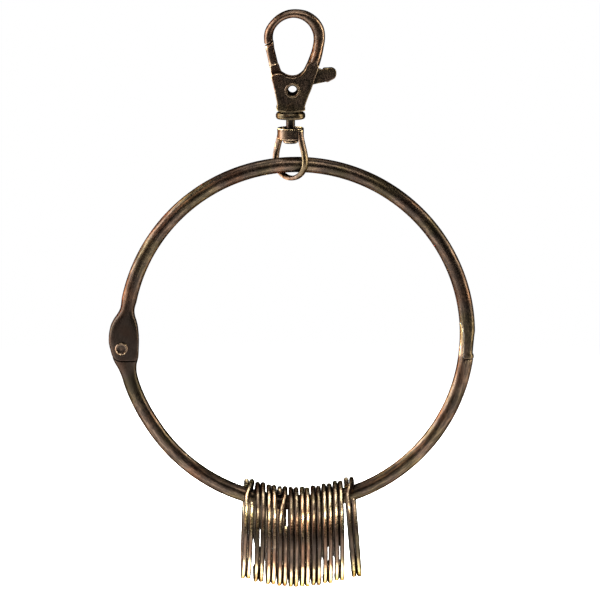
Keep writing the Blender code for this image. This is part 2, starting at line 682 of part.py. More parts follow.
def build_model():
    for item in list(bpy.data.objects):
        bpy.data.objects.remove(item, do_unlink=True)
    build_clasp_body(brass("clasp_body", (0.13, 0.075, 0.04), 0.36))
    build_gate(brass("trigger_gate", (0.10, 0.06, 0.035), 0.4))
    build_eyelet(brass("gate_rivet", (0.17, 0.11, 0.06), 0.34))
    build_spring(brass("gate_spring", (0.35, 0.33, 0.3), 0.3))
    build_post(brass("swivel_post", (0.12, 0.09, 0.06), 0.36))
    build_swivel_loop(brass("swivel_loop", (0.2, 0.13, 0.065), 0.33))
    build_upper_half(brass("upper_arc", (0.085, 0.055, 0.033), 0.42))
    build_lower_half(brass("lower_arc", (0.09, 0.065, 0.042), 0.4))
    build_hinge_rivet(brass("hinge_rivet", (0.22, 0.13, 0.07), 0.32))
    build_split_rings()


build_model()
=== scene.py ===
"""Looks of the hinged key ring: every piece as a fine mesh in worn antique brass.

Everything is in metres in the CAD's frame: +Z up, +X to the right, +Y away from the camera,
with the origin inside the top of the clasp's hook.
"""
import json
import math

import bmesh
import bpy
import numpy as np
from mathutils import Matrix, Vector


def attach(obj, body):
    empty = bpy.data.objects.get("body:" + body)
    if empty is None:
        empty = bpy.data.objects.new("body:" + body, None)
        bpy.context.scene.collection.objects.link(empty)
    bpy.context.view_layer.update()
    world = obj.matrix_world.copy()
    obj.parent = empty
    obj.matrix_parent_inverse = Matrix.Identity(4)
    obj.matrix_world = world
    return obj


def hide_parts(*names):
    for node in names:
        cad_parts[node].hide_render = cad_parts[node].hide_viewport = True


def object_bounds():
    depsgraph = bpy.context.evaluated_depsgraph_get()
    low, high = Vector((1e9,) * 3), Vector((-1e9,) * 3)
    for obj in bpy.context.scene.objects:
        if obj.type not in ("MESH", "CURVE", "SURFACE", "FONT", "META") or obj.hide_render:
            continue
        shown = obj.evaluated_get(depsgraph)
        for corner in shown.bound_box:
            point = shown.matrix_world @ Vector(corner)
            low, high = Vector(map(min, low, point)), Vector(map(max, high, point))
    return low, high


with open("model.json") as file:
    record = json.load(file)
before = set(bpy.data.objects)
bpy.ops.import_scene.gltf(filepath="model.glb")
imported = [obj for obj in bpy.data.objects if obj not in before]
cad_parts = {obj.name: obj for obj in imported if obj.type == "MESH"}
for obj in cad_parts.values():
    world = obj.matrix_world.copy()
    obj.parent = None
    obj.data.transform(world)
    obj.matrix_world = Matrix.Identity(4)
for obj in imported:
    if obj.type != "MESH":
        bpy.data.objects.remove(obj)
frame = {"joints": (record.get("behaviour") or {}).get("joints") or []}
cad_low, cad_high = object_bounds()

MM = 0.001
JOINTS = {joint["name"]: joint for joint in frame["joints"]}

# The big ring.
WIRE_R = 1.8 * MM
RING_INNER_R = 38.1 * MM
RING_R = RING_INNER_R + WIRE_R
RING_X = 1.4 * MM
SWING_Z = JOINTS["ring_swing"]["pos_m"][2]
RING_Z = SWING_Z - math.sqrt(RING_R ** 2 - RING_X ** 2)
WIRE_SIDES = 48
COARSE_STEP_DEG = 1.2
FINE_STEP_DEG = 0.3

# The hinge and the latch.
HINGE_X, _, HINGE_Z = JOINTS["ring_hinge"]["pos_m"]
FORK_SLOT_HALF = 0.8 * MM
FORK_SLOT_TOP = 2.75 * MM
FORK_END_R = 2.8 * MM
JOINT_GAP = 0.25 * MM
EDGE_BREAK = 0.12 * MM
CUT_REACH = 9 * MM
TONGUE_HALF = 0.55 * MM
TONGUE_R = 2.4 * MM
RIVET_R = 0.75 * MM
RIVET_BORE_R = 0.95 * MM
RIVET_HEAD_R = 1.5 * MM
RIVET_HEAD_H = 0.45 * MM
RIVET_HEAD_GAP = 0.08 * MM

# The latch, in mm from the hinge axis: heights of its lower and upper joint, and how far the
# two hooks reach across where they pass each other.
LATCH_Z = -2.35
LATCH_TOP = 5.9
RECESS_REACH = (80.03, 80.07)
SHELF_REACH = (79.95, 80.0)

# The clasp.
HOOK_HALF_DEPTH = 1.6 * MM
BODY_HALF_DEPTH = 2.6 * MM
ROOT_HALF_DEPTH = 2.68 * MM
BODY_BEVEL = 1.1 * MM
BAR_HALF_DEPTH = 1.5 * MM
BAR_BEVEL = 0.75 * MM
TAB_HALF_DEPTH = 1.1 * MM
TAB_BEVEL = 0.25 * MM
TAB_START = 6.9 * MM
SLOT_HALF = 1.3 * MM
PIVOT_X, _, PIVOT_Z = JOINTS["trigger_pull"]["pos_m"]
PIVOT_BORE_R = 1.5 * MM
EYELET_BORE_R = 1.0 * MM
EYELET_R = 1.3 * MM
EYELET_FLANGE_R = 1.85 * MM
EYELET_FLANGE_GAP = 0.05 * MM
EYELET_FLANGE_H = 0.35 * MM

# The swivel.
FOOT_BOTTOM = -23.6 * MM
SOCKET_TOP = -20.2 * MM
SOCKET_SHELF = -21.9 * MM
SOCKET_GAP = 0.25 * MM
POST_R = 1.05 * MM
POST_BORE_R = 1.25 * MM
POST_HEAD_R = 1.7 * MM
CUP_R = 3.1 * MM
BOW_TURN_DEG = 42.0
BOW_TOP = -26.1 * MM
BOW_BEND = -33.3 * MM
BOW_TOP_HALF = 3.0 * MM
BOW_HALF = 4.6 * MM
BOW_DROP = 4.25 * MM
BOW_WIRE_HALF_WIDTH = 0.57 * MM
BOW_WIRE_HALF_DEPTH = 0.83 * MM

# The split rings.
SPLIT_OUTER_R = 11.8 * MM
SPLIT_WIDTH = 1.65 * MM
SPLIT_TURN = 1.2 * MM
SPLIT_LAYER = 1.26 * MM
SPLIT_CLEARANCE = 0.15 * MM
SPLIT_END_GAP_DEG = 3.0
SPLIT_TAPER_DEG = 2.5
SPLIT_EXPONENT = 2.9
SPLIT_RIM_SIDES = 24
SPLIT_STEPS = 340

# Lean of each split ring in degrees, and the middle and length of its crossing, measured
# round the ring from its top towards the camera.
SPLIT_RINGS = (
    (2.4, 24.0, 40.0),
    (1.4, 239.0, 44.0),
    (0.6, 332.0, 44.0),
    (0.4, 41.0, 50.0),
    (0.2, 328.0, 44.0),
    (0.0, 334.0, 44.0),
    (-0.2, 330.0, 44.0),
    (-0.5, 220.0, 44.0),
    (-0.9, 217.0, 44.0),
    (-4.6, 24.0, 36.0),
)


# Mesh helpers -----------------------------------------------------------------------

def xz(x, z):
    """A point of an outline, given in mm."""
    return (x * MM, z * MM)


def finish_mesh(name, bm, sharp_deg=35.0):
    """Turn a bmesh into a smooth shaded object whose faces point out."""
    bmesh.ops.remove_doubles(bm, verts=bm.verts, dist=1e-7)
    bmesh.ops.recalc_face_normals(bm, faces=bm.faces)
    mesh = bpy.data.meshes.new(name)
    bm.to_mesh(mesh)
    bm.free()
    mesh.shade_smooth()
    mesh.set_sharp_from_angle(angle=math.radians(sharp_deg))
    piece = bpy.data.objects.new(name, mesh)
    bpy.context.scene.collection.objects.link(piece)
    return piece


def arc(middle_x, middle_z, radius, start_deg, end_deg, steps):
    """Points on an arc, from one angle to the other."""
    points = []
    for k in range(steps + 1):
        t = math.radians(start_deg + (end_deg - start_deg) * k / steps)
        points.append((middle_x + radius * math.cos(t), middle_z + radius * math.sin(t)))
    return points


def circle(middle_x, middle_z, radius, sides):
    """Points all the way round."""
    return arc(middle_x, middle_z, radius, 0, 360 - 360 / sides, sides - 1)


def superellipse(half_a, half_b, exponent, sides):
    """Points round an ellipse (exponent 2) or a rounded box (a larger exponent)."""
    points = []
    for k in range(sides):
        t = 2 * math.pi * (k + 0.5) / sides
        a = math.copysign(abs(math.cos(t)) ** (2 / exponent), math.cos(t)) * half_a
        b = math.copysign(abs(math.sin(t)) ** (2 / exponent), math.sin(t)) * half_b
        points.append((a, b))
    return points


def loft(name, sections):
    """A closed skin over a row of sections with the same number of points."""
    bm = bmesh.new()
    rows = [[bm.verts.new(p) for p in section] for section in sections]
    count = len(rows[0])
    for low, high in zip(rows, rows[1:]):
        for k in range(count):
            n = (k + 1) % count
            bm.faces.new((low[k], low[n], high[n], high[k]))
    bm.faces.new(rows[0])
    bm.faces.new(reversed(rows[-1]))
    return finish_mesh(name, bm)


def prism(name, outline, low_y, high_y, bevel=0.0, segments=5):
    """An outline in the XZ plane made solid between two depths, with rounded rims."""
    bm = bmesh.new()
    face = bm.faces.new([bm.verts.new((x, low_y, z)) for x, z in outline])
    extruded = bmesh.ops.extrude_face_region(bm, geom=[face])
    moved = [item for item in extruded["geom"] if isinstance(item, bmesh.types.BMVert)]
    bmesh.ops.translate(bm, verts=moved, vec=(0.0, high_y - low_y, 0.0))
    bmesh.ops.recalc_face_normals(bm, faces=bm.faces)
    if bevel:
        rims = [e for e in bm.edges if abs(e.verts[0].co.y - e.verts[1].co.y) < 1e-6]
        bmesh.ops.bevel(bm, geom=rims, offset=bevel, segments=segments, profile=0.5,
                        affect="EDGES", clamp_overlap=True)
    return finish_mesh(name, bm)


def turned(name, profile, sides=96, place=None):
    """A profile of (radius, height) turned about Z. A profile off the axis closes on itself."""
    bm = bmesh.new()
    rows = []
    for radius, height in profile:
        if radius < 1e-9:
            rows.append([bm.verts.new((0.0, 0.0, height))] * sides)
            continue
        turns = [2 * math.pi * k / sides for k in range(sides)]
        rows.append([bm.verts.new((radius * math.cos(t), radius * math.sin(t), height))
                     for t in turns])
    on_axis = profile[0][0] < 1e-9
    after = rows[1:] if on_axis else rows[1:] + rows[:1]
    for low, high in zip(rows, after):
        for k in range(sides):
            n = (k + 1) % sides
            corners = list(dict.fromkeys((low[k], low[n], high[n], high[k])))
            if len(corners) > 2:
                bm.faces.new(corners)
    if place:
        bmesh.ops.transform(bm, matrix=place, verts=bm.verts)
    return finish_mesh(name, bm)


def rounded(profile, radius, steps=4):
    """The same open profile with its inner corners rounded off."""
    points = [profile[0]]
    for before, corner, after in zip(profile, profile[1:], profile[2:]):
        here = Vector(corner)
        back = Vector(before) - here
        on = Vector(after) - here
        reach = min(radius, back.length * 0.45, on.length * 0.45)
        start = here + back.normalized() * reach
        end = here + on.normalized() * reach
        for k in range(steps + 1):
            t = k / steps
            points.append(tuple(start * (1 - t) ** 2 + here * 2 * t * (1 - t) + end * t ** 2))
    return points + [profile[-1]]


def settle(piece):
    """Apply a piece's modifiers."""
    graph = bpy.context.evaluated_depsgraph_get()
    mesh = bpy.data.meshes.new_from_object(piece.evaluated_get(graph))
    piece.modifiers.clear()
    piece.data = mesh


def combine(piece, others, operation):
    """Cut others from a piece, or join them to it, and remove them."""
    for other in others:
        modifier = piece.modifiers.new(other.name, "BOOLEAN")
        modifier.operation = operation
        modifier.solver = "EXACT"
        modifier.object = other
    settle(piece)
    for other in others:
        bpy.data.objects.remove(other, do_unlink=True)


def break_edges(piece, width):
    """Round the sharp edges of a piece that was cut."""
    bevel = piece.modifiers.new("edges", "BEVEL")
    bevel.width = width
    bevel.segments = 2
    bevel.limit_method = "ANGLE"
    bevel.angle_limit = math.radians(50)
    settle(piece)
    piece.data.shade_smooth()
    piece.data.set_sharp_from_angle(angle=math.radians(50))


def cast(piece, voxel, passes):
    """Remesh a piece evenly and soften it, as metal that was cast and tumbled."""
    remesh = piece.modifiers.new("even", "REMESH")
    remesh.mode = "VOXEL"
    remesh.voxel_size = voxel
    soften = piece.modifiers.new("soften", "SMOOTH")
    soften.factor = 0.5
    soften.iterations = passes
    settle(piece)
    piece.data.shade_smooth()


def along_y(x, z):
    """The placement that turns a part made about Z onto an axis along Y through (x, z)."""
    return Matrix.Translation((x, 0.0, z)) @ Matrix.Rotation(math.radians(90), 4, "X")


def smooth_row(table, s):
    """The row of a table at s, on a smooth curve through the rows given."""
    if s <= table[0][0]:
        return table[0][1:]
    if s >= table[-1][0]:
        return table[-1][1:]
    k = max(i for i in range(len(table) - 1) if table[i][0] <= s)
    before, low = table[max(k - 1, 0)], table[k]
    high, after = table[k + 1], table[min(k + 2, len(table) - 1)]
    span = high[0] - low[0]
    t = (s - low[0]) / span
    row = []
    for a, b, c, d in zip(before[1:], low[1:], high[1:], after[1:]):
        slope_b = (c - a) / (high[0] - before[0]) * span
        slope_c = (d - b) / (after[0] - low[0]) * span
        row.append((2 * t ** 3 - 3 * t ** 2 + 1) * b + (t ** 3 - 2 * t ** 2 + t) * slope_b
                   + (3 * t ** 2 - 2 * t ** 3) * c + (t ** 3 - t ** 2) * slope_c)
    return row


def smooth_outline(points, steps=5):
    """A closed outline on a smooth curve through the points given."""
    count = len(points)
    curve = []
    for k in range(count):
        a, b, c, d = (Vector(points[(k + i) % count]) for i in (-1, 0, 1, 2))
        for step in range(steps):
            t = step / steps
            curve.append(tuple(0.5 * (2 * b + (c - a) * t + (2 * a - 5 * b + 4 * c - d) * t ** 2
                                      + (3 * b - a - 3 * c + d) * t ** 3)))
    return curve


def measure_bend(piece, passes=3):
    """Store how sharply the surface bends at each point: positive on ridges, negative in
    hollows, and 1 for a radius of 1 mm."""
    mesh = piece.data
    count = len(mesh.vertices)
    places = np.empty(count * 3)
    normals = np.empty(count * 3)
    mesh.vertices.foreach_get("co", places)
    mesh.vertex_normals.foreach_get("vector", normals)
    places, normals = places.reshape(-1, 3), normals.reshape(-1, 3)
    ends = np.empty(len(mesh.edges) * 2, int)
    mesh.edges.foreach_get("vertices", ends)
    a, b = ends[0::2], ends[1::2]
    step = places[a] - places[b]
    turn = normals[a] - normals[b]
    bend = (step * turn).sum(1) / np.maximum((step * step).sum(1), 1e-12) * MM
    bend = np.clip(bend, -6.0, 6.0)
    links = np.maximum(np.bincount(a, minlength=count) + np.bincount(b, minlength=count), 1)
    value = (np.bincount(a, bend, count) + np.bincount(b, bend, count)) / links
    for _ in range(passes):
        around = np.bincount(a, value[b], count) + np.bincount(b, value[a], count)
        value = 0.5 * value + 0.5 * around / links
    attribute = mesh.attributes.new("bend", "FLOAT", "POINT")
    attribute.data.foreach_set("value", value.astype(np.float32))


def measure_side(piece):
    """Store how far each point of a split ring faces sideways, from 0 to 1, which the finish uses
    to paint shade on the wire's sides.
    """
    mesh = piece.data
    normals = np.empty(len(mesh.vertices) * 3)
    mesh.vertex_normals.foreach_get("vector", normals)
    attribute = mesh.attributes.new("side", "FLOAT", "POINT")
    attribute.data.foreach_set("value", np.abs(normals[0::3]).astype(np.float32))


# Materials --------------------------------------------------------------------------

class Graph:
    """A material's node tree, with short calls to add to it."""

    def __init__(self, name):
        self.material = bpy.data.materials.new(name)
        self.material.use_nodes = True
        self.tree = self.material.node_tree
        self.shader = self.tree.nodes["Principled BSDF"]

    def feed(self, socket, value):
        if isinstance(value, bpy.types.NodeSocket):
            self.tree.links.new(value, socket)
        else:
            socket.default_value = value

    def add(self, kind, inputs, output=0, **settings):
        node = self.tree.nodes.new(kind)
        for key, value in settings.items():
            setattr(node, key, value)
        for key, value in inputs.items():
            self.feed(node.inputs[key], value)
        return node.outputs[output]

    def math(self, operation, a, b=0.0):
        return self.add("ShaderNodeMath", {0: a, 1: b}, operation=operation)

    def ramp(self, value, low, high, to_low=0.0, to_high=1.0):
        return self.add("ShaderNodeMapRange", {"Value": value, "From Min": low, "From Max": high,
                                               "To Min": to_low, "To Max": to_high},
                        interpolation_type="SMOOTHSTEP")

    def noise(self, where, scale, detail=3.0, roughness=0.55, deep=None):
        inputs = {"Vector": where, "Scale": scale, "Detail": detail, "Roughness": roughness}
        if deep is None:
            return self.add("ShaderNodeTexNoise", inputs)
        return self.add("ShaderNodeTexNoise", {**inputs, "W": deep}, noise_dimensions="4D")

    def colours(self, value, stops):
        node = self.tree.nodes.new("ShaderNodeValToRGB")
        node.color_ramp.interpolation = "EASE"
        elements = node.color_ramp.elements
        while len(elements) < len(stops):
            elements.new(0.5)
        for element, (place, colour) in zip(elements, stops):
            element.position = place
            element.color = (*colour, 1.0)
        self.feed(node.inputs[0], value)
        return node.outputs["Color"]

    def multiply(self, colour, tone, amount):
        """A colour tinted by a tone, by the amount given."""
        node = self.tree.nodes.new("ShaderNodeMix")
        node.data_type = "RGBA"
        node.blend_type = "MULTIPLY"
        self.feed(node.inputs["Factor"], amount)
        self.feed(node.inputs[6], colour)
        self.feed(node.inputs[7], tone)
        return node.outputs[2]

    def split(self, vector):
        parts = self.tree.nodes.new("ShaderNodeSeparateXYZ")
        self.feed(parts.inputs[0], vector)
        return list(parts.outputs)

    def round_a_ring(self, axis, middle, along, across):
        """Coordinates stretched round a ring: scaled by along on the ring and by across on
        the section of its wire, as three coordinates and a fourth."""
        here = self.add("ShaderNodeTexCoord", {}, output="Object")
        moved = self.add("ShaderNodeVectorMath", {0: here, 1: middle}, operation="SUBTRACT")
        parts = self.split(moved)
        depth = parts.pop(axis)
        squares = [self.math("MULTIPLY", part, part) for part in parts]
        reach = self.math("SQRT", self.math("ADD", *squares))
        stretched = self.add("ShaderNodeCombineXYZ", {0: self.math("MULTIPLY", parts[0], along),
                                                      1: self.math("MULTIPLY", parts[1], along),
                                                      2: self.math("MULTIPLY", depth, across)})
        return here, stretched, self.math("MULTIPLY", reach, across)


# Colours of the brass from its oxide to rubbed metal, and two tints laid over them.
OXIDE = (0.014, 0.0105, 0.0085)
BROWN = (0.048, 0.033, 0.0235)
GOLD = (0.38, 0.29, 0.178)
PALE = (0.8, 0.69, 0.52)
RUSTY = (1.07, 0.89, 0.8, 1.0)
OLIVE = (0.93, 1.0, 0.82, 1.0)

# Noise scales per metre: slow changes of tone, patches of wear, and fine mottling.
TONE_SCALE = 110.0
PATCH_SCALE = 260.0
MOTTLE_SCALE = 2600.0
BUMP_DEPTH = 0.04 * MM


def worn_brass_with_painted_light(name, place, streaks, wear, ridge=(1.6, 4.2), offset=0.0, sides=0.0, wear_and_painted_light=None,
               bump_strength=0.35):
    """Antique brass: a dark oxide that is rubbed through to gold on ridges and in streaks, with
    painted shade and painted highlight where they are asked for.

    place is a function that gives the coordinates of the fine detail from the graph, streaks
    says how strong the drawn lines along the wire are, wear how far the oxide has gone, ridge
    from which bend to which the ridges are rubbed, and sides how far painted shade darkens the
    sides of flat wire. The function for wear and painted light gives more wear or less, and
    painted highlight and painted shade, from the graph and the place on the piece. offset
    shifts the pattern, so that no two pieces have the same one."""
    g = Graph(name)
    detail, along, deep = place(g)
    shifted = g.add("ShaderNodeVectorMath", {0: detail, 1: (offset, offset * 0.7, -offset)},
                    operation="ADD")
    patches = g.noise(shifted, PATCH_SCALE, 4.0, 0.6)
    mottle = g.noise(shifted, MOTTLE_SCALE, 5.0, 0.65)
    lines = g.noise(along, 1.0, 4.0, 0.6, deep)
    bend = g.add("ShaderNodeAttribute", {}, output="Fac", attribute_name="bend")
    ridges = g.ramp(bend, *ridge)
    hollows = g.ramp(bend, -0.2, -1.6)
    rubbed = g.math("MULTIPLY", g.ramp(lines, 0.42, 0.72), streaks)
    bare_metal_and_painted_light = g.math("ADD", g.ramp(patches, 0.35, 0.75, -0.08, 0.1), rubbed)
    bare_metal_and_painted_light = g.math("ADD", bare_metal_and_painted_light, g.ramp(mottle, 0.3, 0.7, -0.07, 0.07))
    bare_metal_and_painted_light = g.math("ADD", bare_metal_and_painted_light, g.math("MULTIPLY", ridges, g.ramp(mottle, 0.3, 0.62, 0.05, 0.26)))
    bare_metal_and_painted_light = g.math("ADD", bare_metal_and_painted_light, g.ramp(bend, 0.32, 1.0, 0.0, 0.13))
    bare_metal_and_painted_light = g.math("SUBTRACT", bare_metal_and_painted_light, g.math("MULTIPLY", hollows, 0.6))
    bare_metal_and_painted_light = g.math("ADD", bare_metal_and_painted_light, wear)
    # Painted shade: flat wire is darkened where it faces sideways.
    if sides:
        side = g.add("ShaderNodeAttribute", {}, output="Fac", attribute_name="side")
        bare_metal_and_painted_light = g.math("SUBTRACT", bare_metal_and_painted_light, g.math("MULTIPLY", g.ramp(side, 0.15, 0.6), sides))
    # More wear or less, and painted highlight and painted shade, by place on the piece.
    if wear_and_painted_light:
        bare_metal_and_painted_light = g.math("ADD", bare_metal_and_painted_light, wear_and_painted_light(g, detail))
    colour = g.colours(bare_metal_and_painted_light, ((0.0, OXIDE), (0.32, BROWN), (0.62, GOLD), (1.0, PALE)))
    cast_tone = g.noise(shifted, TONE_SCALE, 2.0)
    colour = g.multiply(colour, RUSTY, g.ramp(cast_tone, 0.5, 0.66))
    colour = g.multiply(colour, OLIVE, g.ramp(cast_tone, 0.5, 0.36))
    g.feed(g.shader.inputs["Base Color"], colour)
    g.shader.inputs["Metallic"].default_value = 1.0
    g.shader.inputs["Specular Tint"].default_value = (0.2, 0.17, 0.14, 1.0)
    rough = g.math("ADD", g.ramp(bare_metal_and_painted_light, 0.0, 0.9, 0.33, 0.2), g.ramp(mottle, 0.3, 0.7, -0.05, 0.07))
    g.feed(g.shader.inputs["Roughness"], rough)
    height = g.math("ADD", g.math("MULTIPLY", mottle, 0.6), g.math("MULTIPLY", lines, 0.5))
    height = g.math("ADD", height, g.math("MULTIPLY", patches, 0.5))
    bump = g.add("ShaderNodeBump", {"Strength": bump_strength, "Distance": BUMP_DEPTH,
                                    "Height": height}, output="Normal")
    g.feed(g.shader.inputs["Normal"], bump)
    return g.material


def on_big_ring(g):
    """Detail and drawn lines that follow the big ring's wire."""
    return g.round_a_ring(1, (RING_X, 0.0, RING_Z), along=260.0, across=2600.0)


def on_split_ring(g):
    """Detail and drawn lines that follow a split ring's wire."""
    return g.round_a_ring(0, (0.0, 0.0, 0.0), along=200.0, across=4200.0)


def on_casting(g):
    """Detail on a cast piece, with file strokes that run down it."""
    here = g.add("ShaderNodeTexCoord", {}, output="Object")
    x, y, z = g.split(here)
    lines = g.add("ShaderNodeCombineXYZ", {0: g.math("MULTIPLY", x, 1500.0),
                                           1: g.math("MULTIPLY", y, 1500.0),
                                           2: g.math("MULTIPLY", z, 400.0)})
    return here, lines, None


def hinge_leaf_shade_and_less_wear(g, here):
    """The flat leaf round the hinge is kept darker, as less wear and as painted shade for the dark
    reflection in its flat faces.
    """
    x, _, z = g.split(here)
    across = g.math("SUBTRACT", x, HINGE_X)
    up = g.math("SUBTRACT", z, HINGE_Z)
    squares = g.math("ADD", g.math("MULTIPLY", across, across), g.math("MULTIPLY", up, up))
    # Painted shade and less wear near the hinge axis.
    return g.ramp(g.math("SQRT", squares), 5.5 * MM, 13 * MM, -0.5, 0.0)


def painted_mid_shade_bottom_wear_and_sheen(g, here):
    """A split ring gets painted shade just below its middle, and is lighter at its bottom, as wear
    and as painted highlight.
    """
    _, _, z = g.split(here)
    off = g.math("ABSOLUTE", g.math("ADD", z, 1.8 * MM))
    # Painted shade just below the middle of the ring.
    painted_mid_shade = g.ramp(off, 1.6 * MM, 5.2 * MM, -0.27, 0.0)
    # Lighter at the bottom: wear and painted highlight.
    return g.math("ADD", painted_mid_shade, g.ramp(z, -5.0 * MM, -8.0 * MM, 0.0, 0.12))


def hook_painted_sheen_and_dark_foot(g, here):
    """The outer right of the hook gets a painted highlight, and the clasp is darker towards the
    bottom of its foot.
    """
    x, _, z = g.split(here)
    # Painted highlight on the outer right of the hook.
    outer = g.math("MULTIPLY", g.ramp(x, 5.6 * MM, 7.4 * MM, 0.0, 0.2),
                   g.ramp(z, -14 * MM, -9 * MM))
    return g.math("ADD", outer, g.ramp(z, -21.5 * MM, -22.2 * MM, 0.0, -0.14))


def bar_wear_sheen_and_dark_tab(g, here):
    """The gate bar is lighter, as wear and as painted highlight, and the thumb tab is darker."""
    x, _, _ = g.split(here)
    return g.ramp(x, -1 * MM, 4 * MM, 0.05, -0.04)


def latch_sheen_and_hinge_leaf_shade(g, here):
    """The hinge leaf kept darker, and a painted highlight on the inner hook of the latch, which the
    other half rubs against.
    """
    x, _, z = g.split(here)
    above = g.ramp(z, HINGE_Z + LATCH_Z * MM, HINGE_Z + (LATCH_Z + 1.0) * MM)
    right = g.math("GREATER_THAN", x, 0.0)
    # Painted highlight on the inner hook, above the latch's seat and to the right of the hinge.
    painted_latch_sheen = g.math("MULTIPLY", above, g.math("MULTIPLY", right, 0.16))
    return g.math("ADD", hinge_leaf_shade_and_less_wear(g, here), painted_latch_sheen)


def spring_steel(name):
    """Bright drawn wire with a faint mottle."""
    g = Graph(name)
    here = g.add("ShaderNodeTexCoord", {}, output="Object")
    mottle = g.noise(here, 3000.0, 4.0)
    g.feed(g.shader.inputs["Base Color"],
           g.colours(mottle, ((0.3, (0.2, 0.19, 0.18)), (0.7, (0.5, 0.48, 0.45)))))
    g.shader.inputs["Metallic"].default_value = 1.0
    g.feed(g.shader.inputs["Roughness"], g.ramp(mottle, 0.3, 0.7, 0.2, 0.38))
    return g.material


def dress(piece, material, body, slot, *nodes):
    """Give a finished piece its material, and hand it to its body in place of CAD nodes."""
    piece.data.materials.clear()
    piece.data.materials.append(material)
    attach(piece, body)
    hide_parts(*nodes)


# Half rings -------------------------------------------------------------------------

IN_MM = RING_INNER_R / MM
OUT_MM = IN_MM + 2 * WIRE_R / MM

# (angle round the ring, inner radius, outer radius, exponent of the section), radii in mm.
RING_SECTIONS = (
    (-8.3, IN_MM, OUT_MM + 0.03, 2.0),
    (-7.0, IN_MM, OUT_MM + 0.03, 2.0),
    (-6.2, IN_MM, OUT_MM - 0.28, 2.0),
    (-1.5, IN_MM, OUT_MM - 0.22, 2.0),
    (1.5, IN_MM, OUT_MM, 2.0),
    (30.0, IN_MM, OUT_MM, 2.0),
    (168.0, IN_MM, OUT_MM, 2.0),
    (171.5, 38.25, 41.62, 2.0),
    (173.5, 37.95, 42.1, 2.4),
    (175.2, 37.5, 42.8, 3.0),
    (177.6, 37.05, 43.5, 3.5),
    (182.0, 36.8, 43.95, 4.0),
    (185.5, 37.0, 43.6, 4.0),
    (188.5, 37.35, 43.15, 4.0),
    (191.0, 38.05, 42.5, 3.0),
    (193.5, 38.4, 42.15, 2.4),
    (197.0, 38.45, 42.05, 2.0),
    (214.0, IN_MM, OUT_MM, 2.0),
    (330.0, IN_MM, OUT_MM, 2.0),
    (366.0, IN_MM, OUT_MM, 2.0),
)

# Angles between which the wire changes its section, which get finer steps.
FINE_SPANS = ((-9.0, 3.0), (167.0, 200.0), (352.0, 366.0))


def ring_section(angle_deg):
    """The section of the big ring's wire at an angle counted from +X through the top."""
    inner, outer, exponent = smooth_row(RING_SECTIONS, angle_deg)
    middle = (inner + outer) / 2 * MM
    out = Vector((math.cos(math.radians(angle_deg)), 0.0, math.sin(math.radians(angle_deg))))
    centre = Vector((RING_X, 0.0, RING_Z)) + out * middle
    rim = superellipse((outer - inner) / 2 * MM, WIRE_R, exponent, WIRE_SIDES)
    return [centre + out * a + Vector((0.0, b, 0.0)) for a, b in rim]


def ring_angles(start, end):
    angles = [start]
    while angles[-1] < end:
        here = angles[-1]
        fine = any(low <= here < high for low, high in FINE_SPANS)
        angles.append(min(here + (FINE_STEP_DEG if fine else COARSE_STEP_DEG), end))
    return angles


def about_hinge(radius_mm, height_mm):
    """A point of the latch, from its distance to the hinge axis and its height above it."""
    across = math.sqrt(radius_mm ** 2 - height_mm ** 2)
    return (HINGE_X + across * MM, HINGE_Z + height_mm * MM)


def hinge_edge(radius, reach):
    """The edge between fork and tongue: an arc about the hinge, then level to the right."""
    return arc(HINGE_X, HINGE_Z, radius, 180, 270, 32) + [(HINGE_X + reach, HINGE_Z - radius)]


def make_upper_half():
    """The upper half ring with the hinge's fork and the latch's outer hook."""
    upper = loft("ring_upper_half", [ring_section(a) for a in ring_angles(-9.5, 190.0)])
    far = CUT_REACH
    left, right = HINGE_X - far, HINGE_X + far
    slot_top = HINGE_Z + FORK_SLOT_TOP
    slot_box = ((left, HINGE_Z - far), (right, HINGE_Z - far), (right, slot_top), (left, slot_top))
    end = hinge_edge(FORK_END_R, far)
    end += [(right, HINGE_Z - far), (left, HINGE_Z - far), (left, HINGE_Z)]
    near_x, far_x = HINGE_X + 76 * MM, HINGE_X + 86 * MM
    seat = HINGE_Z + LATCH_Z * MM
    foot = [(near_x, seat), (far_x, seat), (far_x, HINGE_Z - far), (near_x, HINGE_Z - far)]
    narrow, wide = RECESS_REACH
    recess = [about_hinge(78.0, 6.1), about_hinge(79.5, 6.1), about_hinge(79.92, 4.8),
              about_hinge(wide, 3.5), about_hinge(wide, 2.1), about_hinge(narrow, 0.4),
              about_hinge(narrow, -3.0), about_hinge(78.0, -3.0)]
    combine(upper, [
        prism("slot", slot_box, -FORK_SLOT_HALF, FORK_SLOT_HALF),
        prism("fork_end", end, -far, far),
        prism("fork_bore", circle(HINGE_X, HINGE_Z, RIVET_BORE_R, 24), -far, far),
        prism("latch_foot", foot, -far, far),
        prism("latch_recess", recess, -far, far)], "DIFFERENCE")
    break_edges(upper, EDGE_BREAK)
    return upper


